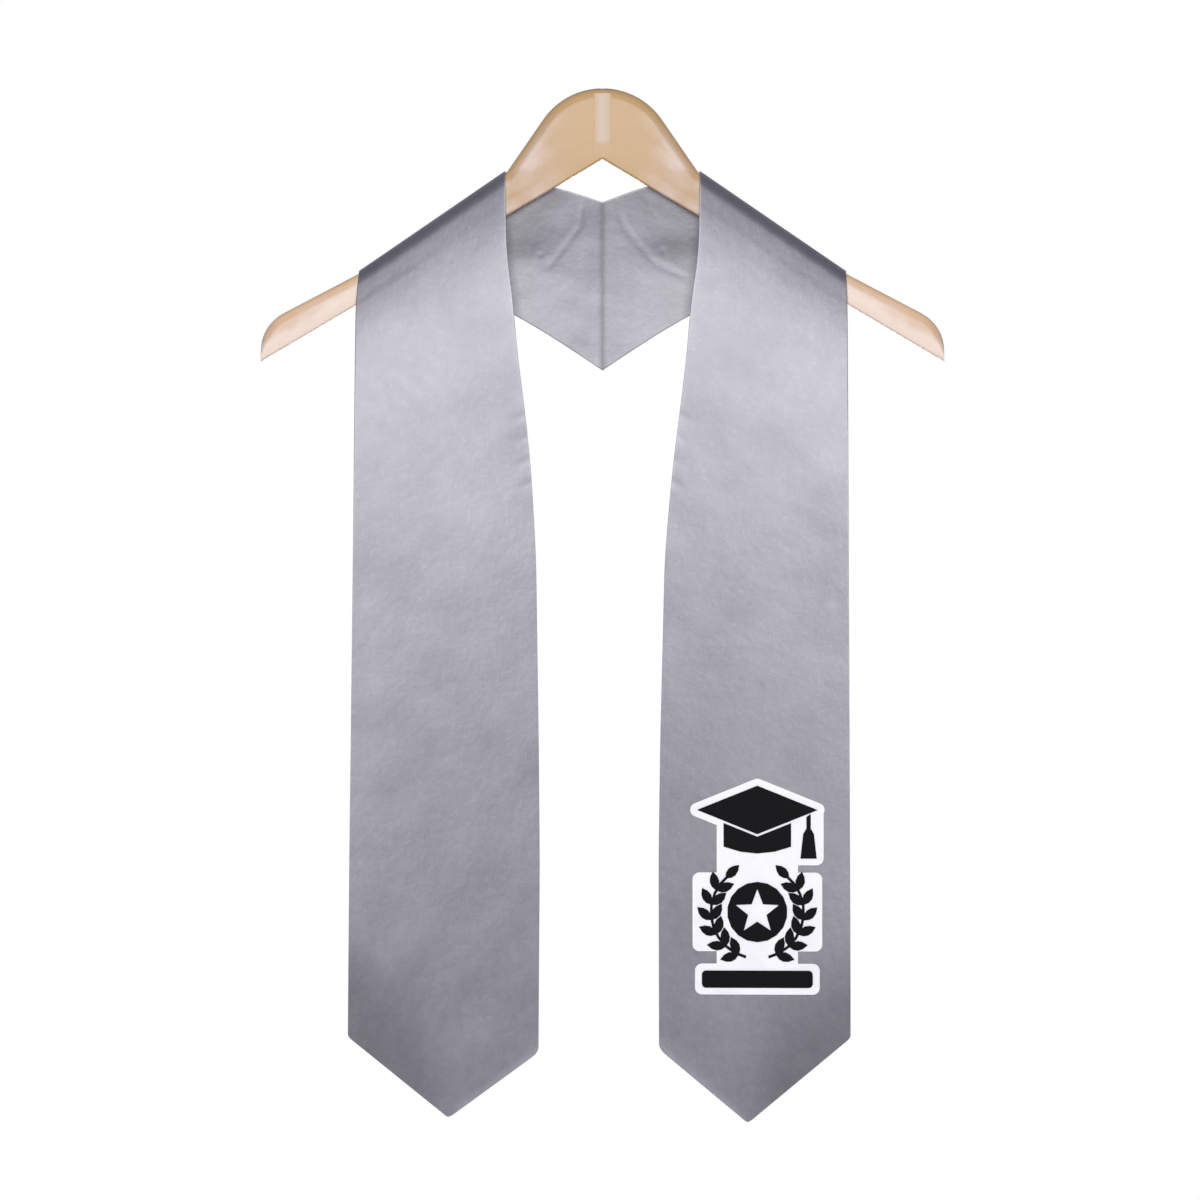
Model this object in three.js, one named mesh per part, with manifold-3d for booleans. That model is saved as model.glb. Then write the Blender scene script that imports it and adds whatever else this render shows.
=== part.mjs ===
// A satin graduation stole hung over a plain contoured wooden hanger.
// Millimetres, +Z up, +X to the viewer's right, the front looks along -Y.
// The origin is the top of the hanger's crest, in the middle of its thickness, where the hook screws in.

import * as THREE from 'three';
import { mergeVertices } from 'three/addons/utils/BufferGeometryUtils.js';
import Module from 'manifold-3d';

const wasm = await Module();
wasm.setup();

const degrees = Math.PI / 180;

// Hanger, seen from the front
const hangerReach = 222.5; // centre to arm tip
const crestRadius = 47; // round top of the neck
const flankAngle = 55.5 * degrees; // steep sides of the neck
const neckReach = 62.4; // centre to where a flank meets the shoulder
const shoulderSlope = 34.6 * degrees;
const shoulderReach = 160; // centre to where the shoulder slope eases off
const armSlope = 28 * degrees;
const noseLength = 16; // rounded end of an arm, along X
const noseDrop = 17.5; // how far the rounded end falls below the arm's straight top
const noseFullness = 2.4; // exponent of the rounded end, 2 is an ellipse
const neckDepth = 46.9; // crest to the notch of the underside
const undersideSlope = 30.8 * degrees;

// Hanger, across its thickness
const hangerThickness = 15;
const tipThickness = 11;
const armSweep = 18; // how far the arm tips come forward of the centre
const sweepStraightShare = 0.35; // the rest of the sweep grows with the square of the reach
const ridgeRoundFront = 7; // depth of the rounded top edge on the front
const ridgeRoundBack = 6; // the same on the back
const undersideRound = 3;
const upperRoundLimit = 0.8; // share of a section's height that its upper rounding may take

// Milled flat at the centre front, and the blind hole that takes the hook
const flatWidth = 11;
const flatLength = 37;
const flatDepth = 0.9;
const hookHoleDiameter = 4.2;
const hookHoleDepth = 16;

// Cloth of the stole
const clothWall = 1;
const clothClearance = 0.35; // cloth to wood, where it rests on the ridge
const shellDepth = 9; // down to here the front lies on the round of the ridge
const shellInset = 0.3; // that round is a little slimmer than the wood's half thickness
const bellySlope = 0.2; // how steeply the stiff cloth leaves the wood there
const bellyLength = 150; // how far below the ridge it has turned upright
const bellyPower = 1.6; // how fast its slope eases off
const frontFoldDepth = 18; // how far below the ridge the front has turned down
const backFoldDepth = 7; // the same behind the arm
const seamClearance = 0.3; // half to half at the centre-back seam
const edgeMargin = 0.9; // inner edge of a band to the root of the neck's flank, on the ridge
const ridgeOuter = 158.8; // outer edge of a band, on the ridge
const backDrift = 14; // how far the outer edge moves inwards on its way over the ridge
const flatStart = 120; // this far below the ridge the front starts to leave the arm's curve
const flatEnd = 320; // and is flat from here on
const seamTop = 74; // crest to the upper end of the centre-back seam
const seamLength = 110;
const backLowerBend = { reach: 72, drop: 135.5 }; // where the lower back edge turns down to the seam
const bendPull = 0.9; // how sharply the back edges turn

// The two bands: where their corners and points lie at the lower end, as reach from the centre and drop from
// the crest, and where the upper back edge turns down to the seam.
const leftBand = {
  side: -1,
  innerColumn: 'innerLeft',
  endOuter: 165.7,
  endInner: 41.7,
  outerCorner: 618.7,
  innerCorner: 629.2,
  tip: 100.3,
  tipDrop: 671.8,
  backUpperBend: { reach: 38, drop: 61 },
};
const rightBand = {
  side: 1,
  innerColumn: 'innerRight',
  endOuter: 161.4,
  endInner: 36.8,
  outerCorner: 619.4,
  innerCorner: 627,
  tip: 94.7,
  tipDrop: 675.2,
  backUpperBend: { reach: 40, drop: 58.5 },
};

// Outline of a band below the ridge. down: share of the drop to the band's corners.
// outer, innerLeft and innerRight: shares of the way between an edge's place on the ridge and its place at the end.
const bandOutline = [
  { down: 0.11, outer: 0.0, innerLeft: 0.0, innerRight: 0.0 },
  { down: 0.17, outer: 0.1, innerLeft: 0.03, innerRight: 0.02 },
  { down: 0.23, outer: 0.28, innerLeft: 0.26, innerRight: 0.235 },
  { down: 0.27, outer: 0.32, innerLeft: 0.345, innerRight: 0.3 },
  { down: 0.33, outer: 0.37, innerLeft: 0.57, innerRight: 0.465 },
  { down: 0.38, outer: 0.41, innerLeft: 0.735, innerRight: 0.62 },
  { down: 0.42, outer: 0.44, innerLeft: 0.82, innerRight: 0.72 },
  { down: 0.49, outer: 0.5, innerLeft: 0.93, innerRight: 0.86 },
  { down: 0.68, outer: 0.7, innerLeft: 1.01, innerRight: 0.97 },
  { down: 0.8, outer: 0.83, innerLeft: 1.04, innerRight: 1.01 },
  { down: 1.0, outer: 1.0, innerLeft: 1.0, innerRight: 1.0 },
];

// Soft creases of the cloth, as ridges between two places of a panel's back stretch.
// along: share of the way from the arm to the seam. across: share from the outer to the inner edge.
// width and rise: shares of the seam's length.
const backCreases = [
  { fromAlong: 0.86, fromAcross: 0.92, toAlong: 0.52, toAcross: 0.48, width: 0.07, rise: 0.016 },
  { fromAlong: 0.62, fromAcross: 0.8, toAlong: 0.3, toAcross: 0.62, width: 0.08, rise: 0.014 },
  { fromAlong: 0.95, fromAcross: 0.45, toAlong: 0.55, toAcross: 0.2, width: 0.09, rise: 0.012 },
];

// Print near the end of the right band
const emblemWidth = 87.5;
const emblemHeight = 140.5;
const emblemDrop = 521; // crest to the middle of the print
const emblemShift = 2; // middle of the band to the middle of the print
const emblemBorder = 4.5; // white border around the black pieces
const vinylWall = 0.4;
const vinylClearance = 0.3;
const emblemPieceGap = 1.6; // between neighbouring black pieces

// How finely the surfaces are divided
const frontRows = 31;
const foldRows = 12;
const backRows = 16;
const bandColumns = 14;
const sectionPoints = 20;
const curveSteps = 4;
const wreathSteps = 9;

const woodFinish = new THREE.MeshStandardMaterial({ color: 0xdcb48c, roughness: 0.45, metalness: 0 });
const satinFinish = new THREE.MeshStandardMaterial({ color: 0xa9a7b4, roughness: 0.38, metalness: 0 });
const whiteFinish = new THREE.MeshStandardMaterial({ color: 0xf6f6f6, roughness: 0.5, metalness: 0 });
const blackFinish = new THREE.MeshStandardMaterial({ color: 0x0d0c0b, roughness: 0.5, metalness: 0 });

const mix = THREE.MathUtils.lerp;

// Line of the hanger's middle, seen from above: the arms sweep forward.
function sweep(x) {
  const reach = Math.abs(x) / hangerReach;
  return -armSweep * (sweepStraightShare * reach + (1 - sweepStraightShare) * reach * reach);
}

function halfThickness(x) {
  const reach = Math.abs(x) / hangerReach;
  return mix(hangerThickness, tipThickness, reach * reach) / 2;
}

const crestArcReach = crestRadius * Math.sin(flankAngle);
const crestArcDrop = crestRadius * (1 - Math.cos(flankAngle));
const neckDrop = crestArcDrop + (neckReach - crestArcReach) * Math.tan(flankAngle);
const noseReach = hangerReach - noseLength;

// Straight line of the shoulder, carried on past both of its ends.
function shoulderLine(x) {
  return -neckDrop - (Math.abs(x) - neckReach) * Math.tan(shoulderSlope);
}

// Upper outline of the hanger from the front: crest arc, flank, shoulder, arm, rounded nose.
function topLine(x) {
  const reach = Math.abs(x);
  if (reach <= crestArcReach) return Math.sqrt(crestRadius ** 2 - reach ** 2) - crestRadius;
  if (reach <= neckReach) return -crestArcDrop - (reach - crestArcReach) * Math.tan(flankAngle);
  if (reach <= shoulderReach) return shoulderLine(x);
  const arm = shoulderLine(shoulderReach) - (reach - shoulderReach) * Math.tan(armSlope);
  const share = Math.min(1, Math.max(0, (reach - noseReach) / noseLength));
  return arm - noseDrop * (1 - (1 - share ** noseFullness) ** (1 / noseFullness));
}

function undersideLine(x) {
  return -neckDepth - Math.abs(x) * Math.tan(undersideSlope);
}

// Places along X where the hanger's sections are taken, on one side of its centre.
function sectionPlaces() {
  const places = [];
  const crestSections = 8;
  const shoulderSections = 6;
  const armSections = 3;
  const noseSections = 8;
  for (let i = 1; i <= crestSections; i++) places.push(crestRadius * Math.sin((flankAngle * i) / crestSections));
  places.push((crestArcReach + neckReach) / 2, neckReach);
  for (let i = 1; i <= shoulderSections; i++) places.push(mix(neckReach, shoulderReach, i / shoulderSections));
  for (let i = 1; i <= armSections; i++) places.push(mix(shoulderReach, noseReach, i / armSections));
  for (let i = 1; i <= noseSections; i++) places.push(noseReach + noseLength * Math.sin((Math.PI / 2) * (i / noseSections)));
  return places;
}

// One closed section of the hanger at x: a rounded top, deeper in front than behind, and small lower corners.
function hangerSection(x) {
  const half = halfThickness(x);
  const top = topLine(x);
  const bottom = undersideLine(x);
  const height = top - bottom;
  const step = 0.5;
  const rise = (topLine(Math.abs(x) + step) - topLine(Math.abs(x))) / step;
  const stretch = Math.min(Math.sqrt(1 + rise * rise), 1 / Math.cos(flankAngle));
  const front = Math.min(ridgeRoundFront * stretch, height * upperRoundLimit);
  const back = Math.min(ridgeRoundBack * stretch, height * upperRoundLimit);
  const lower = Math.min(undersideRound, height * (1 - upperRoundLimit));
  const points = [];
  const halfCount = sectionPoints / 2;
  for (let i = 0; i <= halfCount; i++) {
    const angle = (Math.PI * i) / halfCount;
    const depth = i * 2 < halfCount ? front : back;
    points.push(new THREE.Vector3(x, sweep(x) - half * Math.cos(angle), top - depth * (1 - Math.sin(angle))));
  }
  for (let i = 1; i < halfCount; i++) {
    const angle = (Math.PI * i) / halfCount;
    const across = Math.sign(Math.cos(angle)) * Math.sqrt(Math.abs(Math.cos(angle)));
    points.push(new THREE.Vector3(x, sweep(x) + half * across, bottom + lower * (1 - Math.sqrt(Math.sin(angle)))));
  }
  return points;
}

function geometryFrom(points, triangles) {
  const geometry = new THREE.BufferGeometry();
  geometry.setAttribute('position', new THREE.Float32BufferAttribute(points.flatMap((p) => p.toArray()), 3));
  geometry.setIndex(triangles);
  geometry.computeVertexNormals();
  return geometry;
}

// Closed skin through a row of closed sections with equal point counts, capped by fans at both ends.
function loftGeometry(sections) {
  const count = sections[0].length;
  const points = sections.flat();
  const triangles = [];
  for (let s = 0; s + 1 < sections.length; s++) {
    for (let i = 0; i < count; i++) {
      const a = s * count + i;
      const b = s * count + ((i + 1) % count);
      triangles.push(a, a + count, b, b, a + count, b + count);
    }
  }
  const last = (sections.length - 1) * count;
  for (let i = 1; i + 1 < count; i++) {
    triangles.push(0, i, i + 1);
    triangles.push(last, last + i + 1, last + i);
  }
  return geometryFrom(points, triangles);
}

function toSolid(geometry) {
  const bare = geometry.clone();
  bare.deleteAttribute('normal');
  bare.deleteAttribute('uv');
  const merged = mergeVertices(bare, 1e-4);
  const vertProperties = new Float32Array(merged.attributes.position.array);
  const triVerts = new Uint32Array(merged.index.array);
  return new wasm.Manifold(new wasm.Mesh({ numProp: 3, vertProperties, triVerts }));
}

function toGeometry(solid) {
  const mesh = solid.getMesh();
  const geometry = new THREE.BufferGeometry();
  geometry.setAttribute('position', new THREE.BufferAttribute(new Float32Array(mesh.vertProperties), 3));
  geometry.setIndex(new THREE.BufferAttribute(new Uint32Array(mesh.triVerts), 1));
  geometry.computeVertexNormals();
  return geometry;
}

// The whole hanger: lofted body less the milled flat at the centre front and the hook's hole in the crest.
function hangerGeometry() {
  const places = sectionPlaces();
  const stations = [...places.map((x) => -x).reverse(), 0, ...places];
  const body = toSolid(loftGeometry(stations.map(hangerSection)));
  const above = 5;
  const flat = new THREE.BoxGeometry(flatWidth, hangerThickness, flatLength + above);
  flat.translate(0, flatDepth - hangerThickness, (above - flatLength) / 2);
  const hole = new THREE.CylinderGeometry(hookHoleDiameter / 2, hookHoleDiameter / 2, hookHoleDepth + above, 16);
  hole.rotateX(Math.PI / 2);
  hole.translate(0, 0, (above - hookHoleDepth) / 2);
  return toGeometry(body.subtract(toSolid(flat)).subtract(toSolid(hole)));
}

// Reads one column of a table at a place, straight between its rows.
function readTable(table, key, place, column) {
  if (place <= table[0][key]) return table[0][column];
  for (let i = 1; i < table.length; i++) {
    const before = table[i - 1];
    const after = table[i];
    if (place <= after[key]) return mix(before[column], after[column], (place - before[key]) / (after[key] - before[key]));
  }
  return table[table.length - 1][column];
}

const clothOffset = clothClearance + clothWall / 2;
const ridgeInner = neckReach + edgeMargin;

// X of a band at a share across it (0 outer edge, 1 inner edge) and a drop below the crest.
function bandReach(band, across, drop) {
  const outer = mix(ridgeOuter, band.endOuter, readTable(bandOutline, 'down', drop / band.outerCorner, 'outer'));
  const inner = mix(ridgeInner, band.endInner, readTable(bandOutline, 'down', drop / band.innerCorner, band.innerColumn));
  return mix(outer, inner, across);
}

// Middle of the cloth, upright in front of the wood or behind it, at a given reach from the centre.
const bellyDepth = (bellySlope * bellyLength) / (bellyPower + 1);
const clothFront = (reach) => sweep(reach) - halfThickness(reach) + shellInset - bellyDepth;
const clothBack = (reach) => sweep(reach) + halfThickness(reach) + clothOffset;

// The flat plane of a band's lower part: it meets the arm's line at both edges of the cloth.
const planeSlope = (clothFront(ridgeOuter) - clothFront(ridgeInner)) / (ridgeOuter - ridgeInner);
const clothPlane = (reach) => clothFront(ridgeInner) + planeSlope * (reach - ridgeInner);

// How far the fold over the arm reaches down from the ridge line, in front and behind.
const foldFront = (frontFoldDepth + clothOffset) / Math.cos(shoulderSlope);
const foldBack = (backFoldDepth + clothOffset) / Math.cos(shoulderSlope);
const ridgeLift = clothOffset / Math.cos(shoulderSlope);

// Front of the cloth at a distance below the ridge: round over the wood, then a long slack belly, then flat.
function frontY(reach, below) {
  const turn = 1 - Math.min(1, below / shellDepth);
  const shell = (halfThickness(reach) - shellInset) * Math.sqrt(1 - turn * turn);
  const slack = 1 - Math.min(1, below / bellyLength);
  const belly = bellyDepth * (1 - slack ** (bellyPower + 1));
  return mix(sweep(reach) - shell - belly, clothPlane(reach), THREE.MathUtils.smoothstep(below, flatStart, flatEnd));
}

// Lower outline of a band: outer corner, point, inner corner.
function endDrop(band, across) {
  const tipAcross = (band.endOuter - band.tip) / (band.endOuter - band.endInner);
  if (across < tipAcross) return mix(band.outerCorner, band.tipDrop, across / tipAcross);
  return mix(band.tipDrop, band.innerCorner, (across - tipAcross) / (1 - tipAcross));
}

// Front stretch: share 0 at the fold, 1 at the pointed end.
function frontPoint(band, share, across) {
  const ridgeDrop = -shoulderLine(mix(ridgeOuter, ridgeInner, across)) - ridgeLift;
  const drop = mix(ridgeDrop + foldFront, endDrop(band, across), share);
  const reach = bandReach(band, across, drop);
  return new THREE.Vector3(reach, frontY(reach, drop - ridgeDrop), -drop);
}

// Fold over the arm: angle 0 at the front, pi at the back.
function foldPoint(band, angle, across) {
  const ridge = mix(ridgeOuter, ridgeInner, across);
  const front = frontPoint(band, 0, across);
  const drift = backDrift * (1 - across);
  const behind = angle > Math.PI / 2;
  const reach = behind ? ridge - drift * (1 - Math.sin(angle)) : mix(front.x, ridge, Math.sin(angle));
  const below = (behind ? foldBack : foldFront) * (1 - Math.sin(angle));
  const line = behind ? shoulderLine(reach) : shoulderLine(ridge);
  const y = behind ? mix(sweep(reach), clothBack(reach), Math.abs(Math.cos(angle))) : frontY(reach, below);
  return new THREE.Vector3(reach, y, line + ridgeLift - below);
}

// Point of a curve from start to end that turns near a bend.
function bentCurve(start, bend, end, share) {
  const first = start.clone().lerp(bend, bendPull);
  const second = end.clone().lerp(bend, bendPull);
  return new THREE.CubicBezierCurve(start, first, second, end).getPoint(share);
}

// Height of the soft creases at a place of the back stretch.
function creaseRise(along, across) {
  let rise = 0;
  for (const crease of backCreases) {
    const from = new THREE.Vector2(crease.fromAlong, crease.fromAcross);
    const path = new THREE.Vector2(crease.toAlong, crease.toAcross).sub(from);
    const place = new THREE.Vector2(along, across).sub(from);
    const share = THREE.MathUtils.clamp(place.dot(path) / path.lengthSq(), 0, 1);
    const distance = place.sub(path.clone().multiplyScalar(share)).length() / crease.width;
    rise += crease.rise * seamLength * Math.exp(-distance * distance) * Math.sin(Math.PI * mix(0.15, 0.85, share));
  }
  return rise;
}

// Back stretch: share 0 at the fold, 1 at the centre-back seam.
function backPoint(band, share, across) {
  const start = foldPoint(band, Math.PI, across);
  const seam = new THREE.Vector2(seamClearance / 2, -mix(seamTop + seamLength, seamTop, across));
  const bend = new THREE.Vector2(
    mix(backLowerBend.reach, band.backUpperBend.reach, across),
    -mix(backLowerBend.drop, band.backUpperBend.drop, across),
  );
  const place = bentCurve(new THREE.Vector2(start.x, start.z), bend, seam, share);
  return new THREE.Vector3(place.x, clothBack(place.x) + creaseRise(share, across), place.y);
}

// Shares across a band, with one column on the point of the lower end.
function columnShares(band) {
  const tipAcross = (band.endOuter - band.tip) / (band.endOuter - band.endInner);
  const shares = [];
  for (let i = 0; i <= bandColumns; i++) {
    const even = i / bandColumns;
    shares.push(even < 0.5 ? even * 2 * tipAcross : mix(tipAcross, 1, even * 2 - 1));
  }
  return shares;
}

// Middle surface of one half, row by row from the pointed end to the centre-back seam.
function panelRows(band) {
  const shares = columnShares(band);
  const rows = [];
  for (let i = frontRows; i >= 0; i--) rows.push(shares.map((across) => frontPoint(band, i / frontRows, across)));
  for (let i = 1; i <= foldRows; i++) rows.push(shares.map((across) => foldPoint(band, (Math.PI * i) / foldRows, across)));
  for (let i = 1; i <= backRows; i++) rows.push(shares.map((across) => backPoint(band, i / backRows, across)));
  return rows;
}

// Unit normals of a grid of points, from the neighbours of each.
function gridNormals(rows) {
  const last = rows.length - 1;
  return rows.map((row, r) =>
    row.map((_, c) => {
      const along = rows[Math.min(last, r + 1)][c].clone().sub(rows[Math.max(0, r - 1)][c]);
      const across = row[Math.min(row.length - 1, c + 1)].clone().sub(row[Math.max(0, c - 1)]);
      return along.cross(across).normalize();
    }),
  );
}

// Closed sheet of even wall about a grid of middle points.
function sheetGeometry(rows, wall) {
  const normals = gridNormals(rows);
  const width = rows[0].length;
  const count = rows.length * width;
  const shifted = (amount) => rows.flatMap((row, r) => row.map((p, c) => p.clone().addScaledVector(normals[r][c], amount)));
  const points = [...shifted(wall / 2), ...shifted(-wall / 2)];
  const triangles = [];
  const quad = (a, b, c, d) => triangles.push(a, b, c, a, c, d);
  for (let r = 0; r + 1 < rows.length; r++) {
    for (let c = 0; c + 1 < width; c++) {
      const a = r * width + c;
      quad(a, a + width, a + width + 1, a + 1);
      quad(count + a, count + a + 1, count + a + width + 1, count + a + width);
    }
    const left = r * width;
    const right = left + width - 1;
    quad(left, count + left, count + left + width, left + width);
    quad(right, right + width, count + right + width, count + right);
  }
  const top = (rows.length - 1) * width;
  for (let c = 0; c + 1 < width; c++) {
    quad(c, c + 1, count + c + 1, count + c);
    quad(top + c, count + top + c, count + top + c + 1, top + c + 1);
  }
  return geometryFrom(points, triangles);
}

// Turns a geometry built on the +X side over to the other side, faces still outward.
function placeOnSide(geometry, side) {
  if (side > 0) return geometry;
  geometry.scale(-1, 1, 1);
  const index = geometry.index.array;
  for (let i = 0; i < index.length; i += 3) [index[i], index[i + 1]] = [index[i + 1], index[i]];
  geometry.computeVertexNormals();
  return geometry;
}

const panelGeometry = (band) => placeOnSide(sheetGeometry(panelRows(band), clothWall), band.side);

// Flat outline from a list of corners, pushed outwards by a radius with round corners (convex, anticlockwise).
function roundedShape(corners, radius) {
  const shape = new THREE.Shape();
  corners.forEach((corner, i) => {
    const before = corners[(i + corners.length - 1) % corners.length];
    const after = corners[(i + 1) % corners.length];
    const start = Math.atan2(corner[1] - before[1], corner[0] - before[0]) - Math.PI / 2;
    const end = Math.atan2(after[1] - corner[1], after[0] - corner[0]) - Math.PI / 2;
    shape.absarc(corner[0], corner[1], radius, start, end, false);
  });
  return shape;
}

const boxCorners = (left, right, low, high) => [[left, low], [right, low], [right, high], [left, high]];

// Plate of vinyl: shapes drawn in the plane of the band, joined, raised towards the viewer.
function vinylPlate(shapes) {
  const raise = { depth: vinylWall, bevelEnabled: false, curveSegments: curveSteps };
  let solid = null;
  for (const shape of shapes) {
    const next = toSolid(new THREE.ExtrudeGeometry(shape, raise));
    solid = solid ? solid.add(next) : next;
  }
  return toGeometry(solid).rotateX(Math.PI / 2);
}

// Layout of the print, from its middle, as shares of the space inside the white border.
const artHalfWidth = emblemWidth / 2 - emblemBorder;
const artHalfHeight = emblemHeight / 2 - emblemBorder;
const board = { middle: artHalfHeight * 0.76, halfWidth: artHalfWidth, halfHeight: artHalfHeight * 0.24 };
const crown = { halfWidth: artHalfWidth * 0.56, low: artHalfHeight * 0.33 };
const tassel = { reach: artHalfWidth * 0.85, low: artHalfHeight * 0.28, halfWidth: artHalfWidth * 0.09 };
const wreath = { middle: -artHalfHeight * 0.25, radius: artHalfWidth * 0.77, leafLength: artHalfWidth * 0.32 };
const leafPairs = 6;
const leafBulge = 0.5; // how far a leaf's control points stand aside, as a share of its length
const roundel = { radius: artHalfWidth * 0.5, star: artHalfWidth * 0.38, waist: 0.42, points: 5 };
const scroll = { middle: -artHalfHeight * 0.915, halfWidth: artHalfWidth * 0.92, halfHeight: artHalfHeight * 0.085 };

function boardShape() {
  const { middle, halfWidth, halfHeight } = board;
  const corners = [[0, middle - halfHeight], [halfWidth, middle], [0, middle + halfHeight], [-halfWidth, middle]];
  return new THREE.Shape(corners.map(([x, y]) => new THREE.Vector2(x, y)));
}

// Edge of the board's lower side at a reach, moved down by the gap between pieces.
const underBoard = (x) => board.middle - board.halfHeight * (1 - Math.abs(x) / board.halfWidth) - emblemPieceGap;

function crownShape() {
  const shape = new THREE.Shape();
  shape.moveTo(-crown.halfWidth, underBoard(crown.halfWidth));
  shape.lineTo(-crown.halfWidth, crown.low + crown.halfWidth * 0.2);
  shape.quadraticCurveTo(0, crown.low - crown.halfWidth * 0.2, crown.halfWidth, crown.low + crown.halfWidth * 0.2);
  shape.lineTo(crown.halfWidth, underBoard(crown.halfWidth));
  shape.lineTo(0, underBoard(0));
  return shape;
}

function tasselShape() {
  const { reach, low, halfWidth } = tassel;
  const top = underBoard(reach + halfWidth);
  const neck = mix(low, top, 0.55);
  return new THREE.Shape([
    new THREE.Vector2(reach - halfWidth * 1.5, low),
    new THREE.Vector2(reach + halfWidth * 1.5, low),
    new THREE.Vector2(reach + halfWidth, neck),
    new THREE.Vector2(reach + halfWidth * 0.4, neck + halfWidth),
    new THREE.Vector2(reach + halfWidth * 0.4, top),
    new THREE.Vector2(reach - halfWidth * 0.4, underBoard(reach - halfWidth * 0.4)),
    new THREE.Vector2(reach - halfWidth * 0.4, neck + halfWidth),
    new THREE.Vector2(reach - halfWidth, neck),
  ]);
}

// Points of an arc about a place on the print's middle line.
function ringPoints(middle, radius, first, last) {
  const points = [];
  for (let i = 0; i <= wreathSteps; i++) {
    const angle = mix(first, last, i / wreathSteps);
    points.push(new THREE.Vector2(radius * Math.cos(angle), middle + radius * Math.sin(angle)));
  }
  return points;
}

// Leaf with two pointed ends, from its root outwards.
function leafShape(root, angle, length) {
  const shape = new THREE.Shape();
  const place = (along, aside) => [
    root[0] + along * length * Math.cos(angle) - aside * length * Math.sin(angle),
    root[1] + along * length * Math.sin(angle) + aside * length * Math.cos(angle),
  ];
  shape.moveTo(...place(0, 0));
  shape.quadraticCurveTo(...place(0.45, -leafBulge), ...place(1, 0));
  shape.quadraticCurveTo(...place(0.45, leafBulge), ...place(0, 0));
  return shape;
}

// One laurel branch: a curved stem with a leaf at its end and leaves on both sides.
function laurelShapes(side) {
  const { middle, radius, leafLength } = wreath;
  const first = -76 * degrees;
  const last = 52 * degrees;
  const stemWidth = leafLength * 0.14;
  const stem = ringPoints(middle, radius + stemWidth / 2, first, last);
  stem.push(...ringPoints(middle, radius - stemWidth / 2, last, first));
  const shapes = [new THREE.Shape(stem)];
  for (let i = 0; i <= leafPairs; i++) {
    const turn = mix(first, last, (i + 0.5) / (leafPairs + 0.8));
    const root = [radius * Math.cos(turn), middle + radius * Math.sin(turn)];
    const ahead = turn + Math.PI / 2;
    if (i === leafPairs) shapes.push(leafShape(root, ahead, leafLength));
    else shapes.push(leafShape(root, ahead - 38 * degrees, leafLength), leafShape(root, ahead + 42 * degrees, leafLength));
  }
  if (side > 0) return shapes;
  return shapes.map((shape) => new THREE.Shape(shape.getPoints(curveSteps).map((p) => new THREE.Vector2(-p.x, p.y))));
}

// Round plate with a star cut through it.
function roundelShape() {
  const circle = ringPoints(wreath.middle, roundel.radius, -Math.PI / 2, Math.PI / 2);
  circle.push(...ringPoints(wreath.middle, roundel.radius, Math.PI / 2, Math.PI * 1.5).slice(1, -1));
  const shape = new THREE.Shape(circle);
  const star = [];
  for (let i = 0; i < roundel.points * 2; i++) {
    const radius = i % 2 ? roundel.star * roundel.waist : roundel.star;
    const angle = Math.PI / 2 + (Math.PI * i) / roundel.points;
    star.push(new THREE.Vector2(radius * Math.cos(angle), wreath.middle + radius * Math.sin(angle)));
  }
  shape.holes.push(new THREE.Path(star));
  return shape;
}

function scrollShape() {
  const { middle, halfWidth, halfHeight } = scroll;
  const round = halfHeight * 0.5;
  const corners = boxCorners(round - halfWidth, halfWidth - round, middle - halfHeight + round, middle + halfHeight - round);
  return roundedShape(corners, round);
}

// White backing: the black pieces' main forms, each pushed outwards by the border, joined into one plate.
function backingShapes() {
  const { middle, halfWidth, halfHeight } = board;
  const boardCorners = [[0, middle - halfHeight], [halfWidth, middle], [0, middle + halfHeight], [-halfWidth, middle]];
  const tasselReach = tassel.reach + tassel.halfWidth * 1.5;
  const wreathReach = wreath.radius + wreath.leafLength * 0.6;
  const wreathHigh = wreath.middle + wreath.radius * 0.7;
  const wreathLow = wreath.middle - wreath.radius * 0.7;
  const scrollLow = scroll.middle - scroll.halfHeight;
  const scrollHigh = scroll.middle + scroll.halfHeight;
  return [
    roundedShape(boardCorners, emblemBorder),
    roundedShape(boxCorners(-crown.halfWidth, crown.halfWidth, wreath.middle, middle), emblemBorder),
    roundedShape(boxCorners(0, tasselReach, tassel.low, middle), emblemBorder),
    roundedShape(boxCorners(-wreathReach, wreathReach, wreathLow, wreathHigh), emblemBorder),
    roundedShape(boxCorners(-crown.halfWidth, crown.halfWidth, scrollLow, wreath.middle), emblemBorder),
    roundedShape(boxCorners(-scroll.halfWidth, scroll.halfWidth, scrollLow, scrollHigh), emblemBorder),
  ];
}

function namedMesh(name, geometry, material) {
  const mesh = new THREE.Mesh(geometry, material);
  mesh.name = name;
  return mesh;
}

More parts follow.
